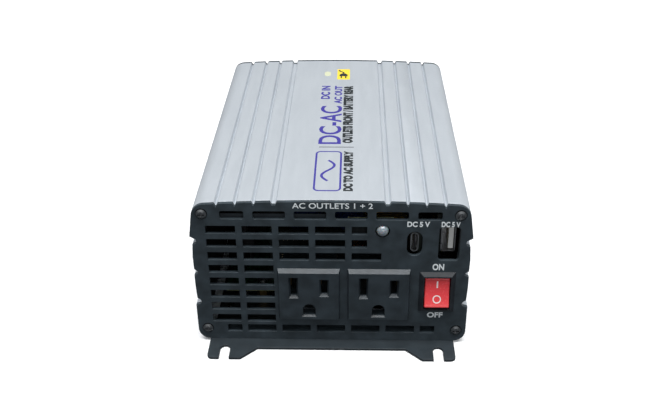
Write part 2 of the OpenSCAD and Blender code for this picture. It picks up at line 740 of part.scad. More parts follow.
module mosfets_dc() color([0.15, 0.15, 0.16]) place()
    for (i = [0:3]) translate([sink_x, 71 + i * 15, board_top]) transistor(-1);

module mosfets_ac() color([0.15, 0.15, 0.16]) place()
    for (i = [0:3]) translate([-sink_x, 46 + i * 11, board_top]) transistor(1);

module can(x, y, r, h) translate([x, y, board_top]) {
    cylinder(r = r, h = h - 1);
    translate([0, 0, h - 1 - eps]) cylinder(r1 = r, r2 = r - 0.8, h = 1);
}

module bulk_capacitors() color([0.12, 0.2, 0.4]) place() {
    can(-14, 66, 9, 36);
    can(6, 66, 9, 36);
}

module input_capacitors() color([0.15, 0.15, 0.3]) place()
    for (i = [0:2]) can(-20 + i * 12, 122, 5, 25);

module choke_core() color([0.75, 0.7, 0.3]) place() translate([choke_at[0], choke_at[1], board_top + 1.2])
    difference() {
        cylinder(r = 11, h = 9);
        translate([0, 0, -1]) cylinder(r = 6, h = 12);
    }

// Turns of copper wire round the choke's core, each a flat rectangular loop
module choke_winding() color([0.75, 0.4, 0.2]) place()
    translate([choke_at[0], choke_at[1], board_top + 1.2]) for (i = [0:17]) rotate([0, 0, i * 20])
        difference() {
            block([4.8, -0.5, -1.2], [12.2, 0.5, 10.2]);
            block([5.98, -1, -0.02], [11.02, 1, 9.02]);
        }

module blade_fuses() color([0.9, 0.75, 0.1]) place()
    for (i = [0:2]) translate([16.5, 58 + i * 6, board_top]) {
        block([0, 0, 4], [18.5, 4, 13]);
        for (x = [1.2, 12.3]) block([x, 1.6, 0], [x + 5, 2.4, 4 + eps]);
    }

module control_board() color([0.1, 0.3, 0.2]) place() {
    block([-28, 30, board_top], [6, 31.6, 36]);
    block([-22, 28.4, 18], [-12, 30, 28]);
    for (i = [0:2]) block([-6 + i * 4, 28.8, 15], [-3.6 + i * 4, 30, 20]);
}

module buzzer() color([0.06, 0.06, 0.06]) place() difference() {
    translate([40, 50, board_top]) cylinder(r = 6, h = 7.5);
    translate([40, 50, board_top + 5]) cylinder(r = 1.2, h = 4);
}

// ---------- wiring that the casing holds ----------

module battery_cable(x) {
    hook(x, body_l - 14, post_z, body_l - 14 - 9.5, board_top, 2.4, 6);
}

module positive_cable() color([0.75, 0.1, 0.1]) place() battery_cable(post_x[0]);
module negative_cable() color([0.08, 0.08, 0.08]) place() battery_cable(post_x[1]);

module outlet_wires() color([0.15, 0.15, 0.15]) place() for (s = [-1, 1]) {
    x = outlet_x + s * outlet_pitch / 2;
    for (d = [-1, 1]) hook(x + d * blade_pitch / 2, 15.8, outlet_z + blade_dz, 25.6, board_top, 1.1, 4);
    hook(x, 15.8, outlet_z + earth_dz, 25.6, board_top, 1.1, 4);
}

module switch_wires() color([0.75, 0.1, 0.1]) place() for (i = [0, 1])
    hook(switch_at[0], 20, switch_at[1] - 5 * i, 33 - 5 * i, board_top, 1, 4);

module fan_wires() color([0.75, 0.1, 0.1]) place() for (i = [0, 1])
    hook(fan_at[0] + 29.2, fan_y0, fan_at[1] - 10 - 2 * i, fan_y0 - 8 + 2.3 * i, board_top, 0.7, 3);

top_cover();
base_plate();
front_panel();
rear_panel();
front_screws();
rear_screws();
base_screws();
outlet_left();
outlet_right();
outlet_contacts_left();
outlet_contacts_right();
switch_housing();
switch_rocker();
switch_plunger();
switch_seesaw();
switch_terminals();
status_led();
led_board();
usb_c_shell();
usb_c_tongue();
usb_c_board();
usb_a_shell();
usb_a_tongue();
usb_a_board();
fan_frame();
fan_bearing();
fan_rotor();
fan_shaft();
fan_guard();
fan_screws();
positive_collar();
negative_collar();
positive_stud();
negative_stud();
positive_washer();
negative_washer();
positive_knob();
negative_knob();
ground_screw();
main_board();
board_standoffs();
board_screws();
transformer_cores();
transformer_windings();
heat_sink_dc();
heat_sink_ac();
mosfets_dc();
mosfets_ac();
bulk_capacitors();
input_capacitors();
choke_core();
choke_winding();
blade_fuses();
control_board();
buzzer();
positive_cable();
negative_cable();
outlet_wires();
switch_wires();
fan_wires();
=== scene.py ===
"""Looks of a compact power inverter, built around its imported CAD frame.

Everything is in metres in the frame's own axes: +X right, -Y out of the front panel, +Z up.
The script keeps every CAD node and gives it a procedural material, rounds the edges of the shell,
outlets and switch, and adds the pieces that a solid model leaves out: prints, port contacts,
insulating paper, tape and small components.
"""
import json
import math

import bmesh
import bpy
from mathutils import Matrix, Vector
from mathutils.bvhtree import BVHTree


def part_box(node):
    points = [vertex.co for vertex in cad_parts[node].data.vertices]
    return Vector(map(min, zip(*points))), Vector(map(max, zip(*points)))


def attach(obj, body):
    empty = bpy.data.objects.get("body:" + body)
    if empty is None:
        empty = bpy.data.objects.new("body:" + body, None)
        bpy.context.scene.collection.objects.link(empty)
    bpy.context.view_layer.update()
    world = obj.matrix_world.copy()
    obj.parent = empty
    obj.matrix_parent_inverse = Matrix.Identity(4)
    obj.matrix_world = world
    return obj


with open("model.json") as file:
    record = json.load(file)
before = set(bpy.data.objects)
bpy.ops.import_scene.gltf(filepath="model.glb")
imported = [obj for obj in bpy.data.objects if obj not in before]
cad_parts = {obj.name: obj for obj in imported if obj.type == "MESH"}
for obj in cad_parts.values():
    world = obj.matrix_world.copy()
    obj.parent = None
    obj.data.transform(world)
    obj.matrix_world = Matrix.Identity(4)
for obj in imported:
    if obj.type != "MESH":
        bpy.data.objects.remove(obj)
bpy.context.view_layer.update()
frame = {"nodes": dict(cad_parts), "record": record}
NODES = frame["nodes"]
MM = 0.001
PRINT_T = 0.03                               # thickness of printed ink, in millimetres

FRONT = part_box("front_panel")[0].y           # outer face of the front panel
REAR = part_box("rear_panel")[1].y             # outer face of the rear panel
PLATE_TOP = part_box("base_plate")[1].z
HOOD_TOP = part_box("top_cover")[1].z
BOARD_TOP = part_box("main_board")[1].z


def front(x, z, out=0.0):
    """Point on the front panel, x from the middle and z above the plate, in millimetres."""
    return Vector((x * MM, FRONT - out * MM, PLATE_TOP + z * MM))


def hood(x, y, out=0.0):
    """Point on top of the hood, x from the middle and y behind the front panel, in millimetres."""
    return Vector((x * MM, FRONT + y * MM, HOOD_TOP + out * MM))


# ---------- camera, floor and light ----------

CAMERA_AT = (0.00883, -0.38039, 0.24593)     # in metres
CAMERA_TURN, CAMERA_TILT, CAMERA_ROLL = 1.725, 59.093, -0.507    # in degrees
CAMERA_LENS = 48.345                         # in millimetres, on a 36 mm sensor


def make_camera():
    """Camera in front of the object and above it, looking down at the front panel."""
    camera = bpy.data.cameras.new("camera")
    camera.sensor_width = 36
    camera.lens = CAMERA_LENS
    camera.clip_start = 0.01
    holder = bpy.data.objects.new("camera", camera)
    holder.matrix_world = (
        Matrix.Translation(CAMERA_AT)
        @ Matrix.Rotation(math.radians(CAMERA_TURN), 4, "Z")
        @ Matrix.Rotation(math.radians(CAMERA_TILT), 4, "X")
        @ Matrix.Rotation(math.radians(CAMERA_ROLL), 4, "Z")
    )
    bpy.context.scene.collection.objects.link(holder)
    bpy.context.scene.camera = holder


def area_light(name, at, aim, size, power, colour=(1, 1, 1)):
    """Rectangular lamp at one point in metres, aimed at another."""
    lamp = bpy.data.lights.new(name, "AREA")
    lamp.shape = "RECTANGLE"
    lamp.size, lamp.size_y = size
    lamp.energy = power
    lamp.color = colour
    holder = bpy.data.objects.new(name, lamp)
    holder.location = at
    holder.rotation_euler = (Vector(aim) - Vector(at)).to_track_quat("-Z", "Y").to_euler()
    bpy.context.scene.collection.objects.link(holder)


def make_world():
    """Pale overhead tent that fades out towards the front and back, over a dark lower half."""
    world = bpy.data.worlds.new("studio")
    world.use_nodes = True
    nodes, links = world.node_tree.nodes, world.node_tree.links
    split = nodes.new("ShaderNodeSeparateXYZ")
    links.new(nodes.new("ShaderNodeTexCoord").outputs["Generated"], split.inputs["Vector"])
    away, fade = nodes.new("ShaderNodeMath"), nodes.new("ShaderNodeMath")
    away.operation = "ABSOLUTE"
    fade.operation = "MULTIPLY_ADD"
    fade.inputs[1].default_value = -0.45
    ramp = nodes.new("ShaderNodeValToRGB")
    ramp.color_ramp.elements[0].position = 0.0
    ramp.color_ramp.elements[0].color = (0.11, 0.12, 0.13, 1)
    ramp.color_ramp.elements[1].position = 0.5
    ramp.color_ramp.elements[1].color = (0.48, 0.50, 0.52, 1)
    links.new(split.outputs["Y"], away.inputs[0])
    links.new(away.outputs[0], fade.inputs[0])
    links.new(split.outputs["Z"], fade.inputs[2])
    links.new(fade.outputs[0], ramp.inputs["Fac"])
    links.new(ramp.outputs["Color"], nodes["Background"].inputs["Color"])
    bpy.context.scene.world = world


def make_light():
    """Broad overhead light with soft lamps above, in front and to both sides."""
    make_world()
    sun = bpy.data.lights.new("sky", "SUN")
    sun.energy = 1.38
    sun.angle = math.radians(60)
    sky = bpy.data.objects.new("sky", sun)
    sky.rotation_euler = Vector((0, 0.05, -1)).to_track_quat("-Z", "Y").to_euler()
    bpy.context.scene.collection.objects.link(sky)
    area_light("top_front", (0, -0.30, 1.05), (0, -0.08, 0.03), (1.0, 0.34), 9.0)
    area_light("front_fill", (0.15, -1.15, 0.42), (0, -0.08, 0.04), (0.7, 0.5), 2.2)
    area_light("left_side", (-0.9, 0.3, 0.15), (-0.05, 0.0, 0.03), (0.5, 0.5), 2.6)
    area_light("right_side", (0.9, 0.3, 0.15), (0.05, 0.0, 0.03), (0.5, 0.5), 4.5)
    bpy.context.scene.view_settings.view_transform = "Standard"


def make_floor():
    """Plain pale floor that gives the object no light of its own."""
    mesh = bpy.data.meshes.new("floor")
    half = 6
    mesh.from_pydata([(-half, -half, 0), (half, -half, 0), (half, half, 0), (-half, half, 0)],
                     [], [(0, 1, 2, 3)])
    floor = bpy.data.objects.new("floor", mesh)
    floor.visible_diffuse = floor.visible_glossy = False
    bpy.context.scene.collection.objects.link(floor)
    look = Look("floor_white", (0.97, 0.97, 0.97), 0.9)
    look.tint(look.noise(3, detail=1), (0.965, 0.965, 0.965), (0.975, 0.975, 0.975))
    floor.data.materials.append(look.material)


# ---------- materials ----------

class Look:
    """A material whose Principled shader takes its colour, roughness and bump from noise."""

    def __init__(self, name, colour, rough, metallic=0.0, **sockets):
        self.material = bpy.data.materials.new(name)
        self.material.use_nodes = True
        self.nodes = self.material.node_tree.nodes
        self.links = self.material.node_tree.links
        self.shader = self.nodes["Principled BSDF"]
        self.shader.inputs["Base Color"].default_value = (*colour, 1)
        self.shader.inputs["Roughness"].default_value = rough
        self.shader.inputs["Metallic"].default_value = metallic
        for socket, value in sockets.items():
            self.shader.inputs[socket.replace("_", " ")].default_value = value
        self.coords = self.nodes.new("ShaderNodeTexCoord").outputs["Object"]

    def stretched(self, stretch):
        """Object coordinates with a scale for each axis."""
        mapping = self.nodes.new("ShaderNodeMapping")
        mapping.inputs["Scale"].default_value = stretch
        self.links.new(self.coords, mapping.inputs["Vector"])
        return mapping.outputs["Vector"]

    def noise(self, scale, detail=3, stretch=(1, 1, 1)):
        """Noise value; scale is in features a metre."""
        node = self.nodes.new("ShaderNodeTexNoise")
        node.inputs["Scale"].default_value = scale
        node.inputs["Detail"].default_value = detail
        self.links.new(self.stretched(stretch), node.inputs["Vector"])
        return node.outputs["Fac"]

    def cells(self, scale, feature="F1"):
        """Distance within a cell pattern; scale is in cells a metre."""
        node = self.nodes.new("ShaderNodeTexVoronoi")
        node.feature = feature
        node.inputs["Scale"].default_value = scale
        self.links.new(self.coords, node.inputs["Vector"])
        return node.outputs["Distance"]

    def waves(self, scale, axis, distortion=0.0):
        """Bands across one axis; scale is in bands a metre."""
        node = self.nodes.new("ShaderNodeTexWave")
        node.bands_direction = axis
        node.inputs["Scale"].default_value = scale / 3.18
        node.inputs["Distortion"].default_value = distortion
        self.links.new(self.coords, node.inputs["Vector"])
        return node.outputs["Fac"]

    def ramp(self, value, *stops):
        """Colour ramp over a value; each stop is (position, colour)."""
        node = self.nodes.new("ShaderNodeValToRGB")
        elements = node.color_ramp.elements
        while len(elements) < len(stops):
            elements.new(0.5)
        for element, (position, colour) in zip(elements, stops):
            element.position = position
            element.color = (*colour, 1)
        self.links.new(value, node.inputs["Fac"])
        return node.outputs["Color"]

    def tint(self, value, dark, light, low=0.35, high=0.65):
        """Base colour that goes from dark to light as the value goes from low to high."""
        self.links.new(self.ramp(value, (low, dark), (high, light)), self.shader.inputs["Base Color"])

    def rough(self, value, least, most):
        """Roughness that follows the value between two limits."""
        node = self.nodes.new("ShaderNodeMapRange")
        node.inputs["From Min"].default_value = 0.3
        node.inputs["From Max"].default_value = 0.7
        node.inputs["To Min"].default_value = least
        node.inputs["To Max"].default_value = most
        self.links.new(value, node.inputs["Value"])
        self.links.new(node.outputs["Result"], self.shader.inputs["Roughness"])

    def bump(self, value, depth, strength=1.0):
        """Surface relief; depth is in metres."""
        node = self.nodes.new("ShaderNodeBump")
        node.inputs["Distance"].default_value = depth
        node.inputs["Strength"].default_value = strength
        self.links.new(value, node.inputs["Height"])
        self.links.new(node.outputs["Normal"], self.shader.inputs["Normal"])


def hood_silver():
    """Silver finish of the hood, faintly streaked along its length."""
    look = Look("hood_silver", (0.53, 0.565, 0.60), 0.45, 0.4)
    look.tint(look.noise(260, detail=4, stretch=(1, 0.15, 1)), (0.515, 0.55, 0.585), (0.545, 0.58, 0.615))
    look.rough(look.noise(900, detail=3), 0.36, 0.5)
    look.bump(look.noise(5200, detail=2, stretch=(1, 0.4, 1)), 0.00002, 0.5)
    return look.material


def moulded(name, colour, rough, spread=0.25, grain=3200, depth=0.00003, **sockets):
    """Plastic with a fine moulded grain and a little uneven colour."""
    look = Look(name, colour, rough, **sockets)
    darker = [c * (1 - spread) for c in colour]
    lighter = [c * (1 + spread) for c in colour]
    look.tint(look.noise(160, detail=5), darker, lighter)
    look.rough(look.noise(700, detail=3), rough - 0.05, rough + 0.07)
    look.bump(look.noise(grain, detail=2), depth, 0.6)
    return look.material


def powder_coat(name, colour, rough=0.42):
    """Finely pimpled baked paint."""
    look = Look(name, colour, rough, Coat_Weight=0.15, Coat_Roughness=0.25)
    look.tint(look.noise(120, detail=4), [c * 0.86 for c in colour], [c * 1.14 for c in colour])
    look.rough(look.noise(500, detail=2), rough - 0.05, rough + 0.06)
    look.bump(look.cells(1900), 0.00004, 0.35)
    return look.material


def metal(name, colour, rough, stretch=(1, 1, 1), scale=1200):
    """Bare or plated metal with slightly uneven polish."""
    look = Look(name, colour, rough, 1.0)
    look.tint(look.noise(300, detail=4, stretch=stretch), [c * 0.88 for c in colour], colour)
    look.rough(look.noise(scale, detail=4, stretch=stretch), rough - 0.06, rough + 0.1)
    look.bump(look.noise(scale * 2, detail=2, stretch=stretch), 0.00001, 0.5)
    return look.material


def led_milky():
    """Unlit milky lens of the indicator."""
    look = Look("led_milky", (0.25, 0.28, 0.31), 0.2, Subsurface_Weight=0.3, Subsurface_Scale=0.001,
                Coat_Weight=0.8, Coat_Roughness=0.05)
    look.tint(look.noise(700, detail=2), (0.23, 0.265, 0.295), (0.26, 0.295, 0.325))
    return look.material


def board(name, mask, trace, across, edge=(0.36, 0.40, 0.15)):
    """Circuit board with copper runs under its solder mask, and bare laminate along its edges.

    across is the axis through the board's thickness.
    """
    look = Look(name, mask, 0.35)
    runs = look.waves(420, "Y" if across == "X" else "X", distortion=0.6)
    split = look.nodes.new("ShaderNodeSeparateXYZ")
    look.links.new(look.nodes.new("ShaderNodeTexCoord").outputs["Normal"], split.inputs["Vector"])
    flat = look.nodes.new("ShaderNodeMath")
    flat.operation = "ABSOLUTE"
    look.links.new(split.outputs[across], flat.inputs[0])
    mix = look.nodes.new("ShaderNodeMixRGB")
    look.links.new(look.ramp(flat.outputs[0], (0.45, (0, 0, 0)), (0.55, (1, 1, 1))), mix.inputs["Fac"])
    look.links.new(look.ramp(look.noise(2500), (0.4, edge), (0.6, [c * 1.25 for c in edge])),
                   mix.inputs["Color1"])
    look.links.new(look.ramp(runs, (0.55, mask), (0.62, trace)), mix.inputs["Color2"])
    look.links.new(mix.outputs["Color"], look.shader.inputs["Base Color"])
    look.bump(runs, 0.00003, 0.4)
    return look.material


def ink(name, colour, rough=0.45):
    """Printed ink, very slightly uneven."""
    look = Look(name, colour, rough)
    look.tint(look.noise(1500, detail=3), [c * 0.93 for c in colour], colour)
    return look.material


def make_materials():
    """Makes a material for each slot of the record and gives every CAD node its own."""
    looks = {
        "hood_silver": hood_silver(),
        "plate_dark": powder_coat("plate_dark", (0.024, 0.032, 0.038)),
        "panel_black": moulded("panel_black", (0.032, 0.044, 0.053), 0.5, Specular_IOR_Level=0.4),
        "outlet_black": moulded("outlet_black", (0.027, 0.037, 0.045), 0.38, Specular_IOR_Level=0.5),
        "switch_black": moulded("switch_black", (0.020, 0.024, 0.029), 0.36, Specular_IOR_Level=0.25),
        "rocker_red": moulded("rocker_red", (0.86, 0.070, 0.080), 0.24, 0.03, 400, 0.000005,
                              Subsurface_Weight=0.12, Subsurface_Scale=0.002, Coat_Weight=0.35,
                              Coat_Roughness=0.12),
        "led_milky": led_milky(),
        "screw_black": metal("screw_black", (0.34, 0.345, 0.35), 0.13, scale=300),
        "bright_steel": metal("bright_steel", (0.56, 0.57, 0.59), 0.26),
        "guard_wire": powder_coat("guard_wire", (0.020, 0.021, 0.023), 0.32),
        "brass": metal("brass", (0.30, 0.21, 0.09), 0.4),
        "tinned_brass": metal("tinned_brass", (0.62, 0.55, 0.38), 0.28),
        "board_green": board("board_green", (0.005, 0.030, 0.014), (0.009, 0.052, 0.022), "Z"),
        "board_yellow": board("board_yellow", (0.006, 0.008, 0.009), (0.010, 0.013, 0.014), "Y",
                              (0.72, 0.76, 0.46)),
        "port_black": moulded("port_black", (0.012, 0.012, 0.014), 0.4),
        "port_white": moulded("port_white", (0.93, 0.94, 0.91), 0.25, 0.03),
        "fan_black": moulded("fan_black", (0.014, 0.015, 0.017), 0.4),
        "post_red": moulded("post_red", (0.42, 0.015, 0.015), 0.3, 0.08, Coat_Weight=0.2),
        "post_black": moulded("post_black", (0.014, 0.014, 0.015), 0.3, Coat_Weight=0.2),
        "ferrite": moulded("ferrite", (0.035, 0.035, 0.037), 0.6, 0.2, 1500, 0.00006),
        "winding_yellow": moulded("winding_yellow", (0.68, 0.50, 0.08), 0.35, 0.08),
        "sink_aluminium": metal("sink_aluminium", (0.045, 0.047, 0.05), 0.42, (1, 0.1, 1)),
        "chip_black": moulded("chip_black", (0.016, 0.016, 0.018), 0.5),
        "can_blue": moulded("can_blue", (0.015, 0.035, 0.14), 0.25, 0.1),
        "core_yellow": moulded("core_yellow", (0.52, 0.42, 0.08), 0.4, 0.1),
        "copper": metal("copper", (0.66, 0.28, 0.12), 0.25),
        "fuse_yellow": moulded("fuse_yellow", (0.75, 0.46, 0.02), 0.2, 0.06,
                               Transmission_Weight=0.25),
        "wire_red": moulded("wire_red", (0.42, 0.015, 0.015), 0.45, 0.08),
        "wire_black": moulded("wire_black", (0.014, 0.014, 0.015), 0.45),
    }
    slots = {part["node"]: part["material_slot"] for part in frame["record"]["subparts"]}
    for name, node in NODES.items():
        node.data.materials[0] = looks[slots[name]]
    for name, across in (("control_board", "Y"), ("usb_a_board", "X"), ("usb_c_board", "X")):
        NODES[name].data.materials[0] = board("board_" + across.lower() + "_" + name[:5],
                                              (0.006, 0.010, 0.009), (0.010, 0.016, 0.014), across,
                                              (0.020, 0.026, 0.022))
    shell = metal("port_steel", (0.50, 0.51, 0.52), 0.3, scale=200)
    for name in ("usb_a_shell", "usb_c_shell"):
        NODES[name].data.materials[0] = shell
    return looks


# ---------- rounded edges on the CAD nodes ----------

def soften(name, width, segments=2, angle=32, merge_flat=True):
    """Rounds a CAD node's sharp edges by width millimetres, without touching its mesh.

    merge_flat joins the facets of flat faces first. A wide sheet with many holes is left as it is,
    because joining its facets leaves a crease between two holes.
    """
    node = NODES[name]
    weld = node.modifiers.new("weld", "WELD")
    weld.merge_threshold = 0.001 * MM
    if merge_flat:
        flat = node.modifiers.new("flat", "DECIMATE")
        flat.decimate_type = "DISSOLVE"
        flat.angle_limit = math.radians(0.5)
    edge = node.modifiers.new("edge", "BEVEL")
    edge.width = width * MM
    edge.segments = segments
    edge.limit_method = "ANGLE"
    edge.angle_limit = math.radians(angle)
    edge.use_clamp_overlap = False
    edge.harden_normals = True


# ---------- prints ----------

def print_piece(name, mesh, material, body="casing"):
    """Adds a mesh as a piece that rides on one body."""
    piece = bpy.data.objects.new(name, mesh)
    bpy.context.scene.collection.objects.link(piece)
    piece.data.materials.append(material)
    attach(piece, body)
    return piece


def lettering(name, words, height, width, bold=0.0):
    """Flat letters as a thin mesh, scaled to a size in millimetres and centred on the origin."""
    curve = bpy.data.curves.new(name, "FONT")
    curve.body = words
    curve.offset = bold
    curve.extrude = 0.02
    curve.resolution_u = 4
    mesh = curve_mesh(curve)
    low = Vector([min(v.co[i] for v in mesh.vertices) for i in range(3)])
    high = Vector([max(v.co[i] for v in mesh.vertices) for i in range(3)])
    size = high - low
    scale = Matrix.Diagonal((width / size.x, height / size.y, PRINT_T / size.z, 1))
    mesh.transform(Matrix.Scale(MM, 4) @ scale @ Matrix.Translation(-(low + high) / 2))
    return mesh


ON_FRONT = Matrix(((1, 0, 0, 0), (0, 0, -1, 0), (0, 1, 0, 0), (0, 0, 0, 1)))
ON_HOOD = Matrix(((0, -1, 0, 0), (1, 0, 0, 0), (0, 0, 1, 0), (0, 0, 0, 1)))


def front_words(name, words, x, z, height, width, material, bold=0.035):
    """Words on the front panel, centred at x and z, with sizes in millimetres."""
    mesh = lettering(name, words, height, width, bold)
    mesh.transform(Matrix.Translation(front(x, z, PRINT_T / 2)) @ ON_FRONT)
    print_piece(name, mesh, material)


def hood_words(name, words, x, y, height, width, material, bold=0.04):
    """Words that read from the front of the hood to its rear, with their tops to the left."""
    mesh = lettering(name, words, height, width, bold)
    mesh.transform(Matrix.Translation(hood(x, y, PRINT_T / 2)) @ ON_HOOD)
    print_piece(name, mesh, material)


def curve_mesh(curve):
    """Mesh of a curve or text, in the curve's own units."""
    holder = bpy.data.objects.new(curve.name, curve)
    bpy.context.scene.collection.objects.link(holder)
    mesh = bpy.data.meshes.new_from_object(holder)
    bpy.data.objects.remove(holder)
    return mesh


def flat_shape(name, loops):
    """Thin flat mesh from closed loops in millimetres; a loop inside another one is a hole."""
    curve = bpy.data.curves.new(name, "CURVE")
    curve.dimensions = "2D"
    curve.fill_mode = "BOTH"
    curve.extrude = PRINT_T / 2
    for loop in loops:
        spline = curve.splines.new("POLY")
        spline.points.add(len(loop) - 1)
        spline.use_cyclic_u = True
        for point, (x, y) in zip(spline.points, loop):
            point.co = (x, y, 0, 1)
    mesh = curve_mesh(curve)
    mesh.transform(Matrix.Scale(MM, 4))
    return mesh


def rounded(width, height, radius, x=0.0, y=0.0, steps=6):
    """Closed loop of a rectangle with rounded corners."""
    loop = []
    for quarter, (sx, sy) in enumerate(((1, 1), (-1, 1), (-1, -1), (1, -1))):
        for i in range(steps + 1):
            turn = math.radians(90 * (quarter + i / steps))
            loop.append((x + sx * (width / 2 - radius) + radius * math.cos(turn),
                         y + sy * (height / 2 - radius) + radius * math.sin(turn)))
    return loop


def stroke(points, width):
    """Closed loop around an open line of the given width, with mitred corners."""
    left, right = [], []
    for i, point in enumerate(points):
        before = Vector(points[i]) - Vector(points[i - 1]) if i else None
        after = Vector(points[i + 1]) - Vector(points[i]) if i + 1 < len(points) else None
        before, after = before or after, after or before
        a = Vector((-before.y, before.x)).normalized()
        b = Vector((-after.y, after.x)).normalized()
        side = (a + b) / (1 + a.dot(b)) * width / 2
        left.append((point[0] + side.x, point[1] + side.y))
        right.append((point[0] - side.x, point[1] - side.y))
    return left + right[::-1]


def hood_shape(name, loops, x, y, material, lift=0.0):
    """Flat shape on the hood, drawn as the words are: to the rear and with its top to the left."""
    mesh = flat_shape(name, loops)
    mesh.transform(Matrix.Translation(hood(x, y, PRINT_T / 2 + lift)) @ ON_HOOD)
    print_piece(name, mesh, material)


def front_prints(white):
    """Generic names of the outlets, the ports and the two ends of the switch."""
    front_words("header_print", "AC OUTLETS 1 + 2", 0.75, 66.95, 2.5, 31.9, white, 0.012)
    front_words("port_c_print", "DC 5 V", 35.0, 58.75, 2.5, 9.0, white)
    front_words("port_a_print", "DC 5 V", 47.85, 58.75, 2.5, 7.5, white)
    front_words("on_print", "ON", 43.9, 38.25, 3.2, 4.75, white)
    front_words("off_print", "OFF", 43.7, 13.8, 2.8, 6.6, white)


def hood_prints():
    """Generic words on the hood, a framed sign for alternating current and a plug on a yellow field."""
    blue = ink("print_blue", (0.045, 0.036, 0.27))
    black = ink("print_black", (0.020, 0.025, 0.027))
    grey = ink("print_grey", (0.09, 0.09, 0.11))
    yellow = ink("print_yellow", (0.86, 0.64, 0.05))
    pale = ink("print_pale", (0.58, 0.60, 0.42))
    hood_shape("wave_frame_print", [rounded(35.1, 11.4, 2.4), rounded(33.5, 9.8, 1.6)], -1.7, 26.15, blue)
    half, swing, steps = 9, 2.6, 40
    wave = [(half * (2 * i / steps - 1), swing * math.sin(2 * math.pi * i / steps))
            for i in range(steps + 1)]
    hood_shape("wave_print", [stroke(wave, 1.1)], -1.7, 26.15, blue)
    hood_shape("divider_print", [rounded(0.6, 15.3, 0.25)], 1.45, 47.6, grey)
    hood_words("type_print", "DC-AC", -1.7, 70.9, 10.2, 40.6, blue, 0.015)
    hood_words("input_print", "DC IN", -4.98, 107.6, 4.45, 16.2, blue)
    hood_words("output_print", "AC OUT", 1.3, 104.9, 3.8, 21.6, blue)
    hood_words("supply_print", "DC TO AC SUPPLY", 6.8, 26.25, 4.0, 35.1, black, 0.075)
    hood_words("layout_print", "OUTLETS FRONT / BATTERY REAR", 6.25, 83.65, 4.7, 64.1, black, 0.075)
    hood_shape("plug_field_print", [rounded(13.7, 6.5, 0.2)], 3.55, 131.05, yellow)
    plug = [[(-2.6, -2.1), (-0.6, -2.1), (1, -1.1), (1, 1.1), (-0.6, 2.1), (-2.6, 2.1)],
            rounded(2.6, 0.7, 0.3, -4, 1.15), rounded(2.6, 0.7, 0.3, -4, -1.15),
            stroke([(1.1, 0), (2.2, 0), (3.2, 0.7), (4.2, 1.9), (5.6, 2.3)], 0.9)]
    hood_shape("plug_print", plug, 3.55, 131.05, black, 0.02)
    hood_shape("dot_print", [rounded(6, 3.2, 1.55)], -4.65, 131.6, pale)


# ---------- small parts ----------

def solid(name, blocks, material, body="casing", edge=0.0):
    """Blocks, each with a low and a high corner in millimetres from the front face and the plate."""
    shape = bmesh.new()
    for low, high in blocks:
        low, high = front(low[0], low[2], -low[1]), front(high[0], high[2], -high[1])
        made = bmesh.ops.create_cube(shape, size=1)["verts"]
        bmesh.ops.transform(shape, verts=made, matrix=Matrix.Translation((low + high) / 2)
                            @ Matrix.Diagonal((*(high - low), 1)))
    if edge:
        bmesh.ops.bevel(shape, geom=shape.edges[:], offset=edge * MM, segments=2, affect="EDGES")
    return keep(name, shape, material, body)


def turned(name, at, axis, profile, material, body="casing", sides=32):
    """Round part from (radius, height) points along an axis that starts at a point in metres."""
    shape = bmesh.new()
    turn = Vector(axis).to_track_quat("Z", "Y").to_matrix().to_4x4()
    place = Matrix.Translation(at) @ turn
    rings = []
    for radius, height in profile:
        rings.append([shape.verts.new(place @ Vector((radius * MM * math.cos(2 * math.pi * i / sides),
                                                      radius * MM * math.sin(2 * math.pi * i / sides),
                                                      height * MM))) for i in range(sides)])
    for lower, upper in zip(rings, rings[1:]):
        for i in range(sides):
            shape.faces.new((lower[i], lower[(i + 1) % sides], upper[(i + 1) % sides], upper[i]))
    shape.faces.new(rings[0][::-1])
    shape.faces.new(rings[-1])
    return keep(name, shape, material, body)


def keep(name, shape, material, body):
    """Turns a built shape into a piece on a body, with the material it is given."""
    bmesh.ops.recalc_face_normals(shape, faces=shape.faces)
    mesh = bpy.data.meshes.new(name)
    shape.to_mesh(mesh)
    piece = print_piece(name, mesh, material, body)
    return piece


def insulation():
    """Black paper that lines the hood's lips and lower walls, one folded sheet on each side."""
    paper = moulded("paper_black", (0.010, 0.013, 0.016), 0.7)
    thick, inner, outer = 0.3, 40.2, 53.2
    lip, top = 2.05, 46
    near, far = 6.5, 124
    on_lip = (inner, outer, lip, lip + thick)
    on_wall = (outer - thick, outer, lip + thick, top)
    for side, name in ((-1, "left"), (1, "right")):
        blocks = []
        for x0, x1, z0, z1 in (on_lip, on_wall):
            low, high = sorted((side * x0, side * x1))
            blocks.append(((low, near, z0), (high, far, z1)))
        solid("insulation_" + name, blocks, paper)


def vent_shade_sheet():
    """Black sheet behind three of the upper vents, put there as painted shade that keeps their inside
    dark.
    """
    # painted shade: a black sheet where there is only shade behind these vents
    painted_shade_look = moulded("painted_shade_black", (0.020, 0.027, 0.033), 0.5)
    solid("vent_shade_sheet", [((-46, 2.05, 58.4), (-0.8, 2.3, 62))], painted_shade_look, edge=0.05)


def port_contacts():
    """Gold contact strips on the tongues of both USB ports."""
    gold = metal("contact_gold", (0.34, 0.26, 0.12), 0.3)
    low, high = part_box("usb_a_tongue")
    x = (low.x - 0.00012) / MM
    z0, y0 = (low.z - PLATE_TOP) / MM, (low.y - FRONT) / MM
    pitch = 2.55
    strips = [((x, y0 + 0.8, z0 + 1.1 + i * pitch), (x + 0.2, y0 + 8, z0 + 2.3 + i * pitch))
              for i in range(4)]
    solid("usb_a_contacts", strips, gold, edge=0.03)
    low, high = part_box("usb_c_tongue")
    z0, y0 = (low.z - PLATE_TOP) / MM, (low.y - FRONT) / MM
    pitch = 0.5
    strips = []
    for x in (low.x / MM - 0.06, high.x / MM - 0.06):
        strips += [((x, y0 + 0.5, z0 + 0.45 + i * pitch), (x + 0.12, y0 + 5, z0 + 0.7 + i * pitch))
                   for i in range(12)]
    solid("usb_c_contacts", strips, gold)


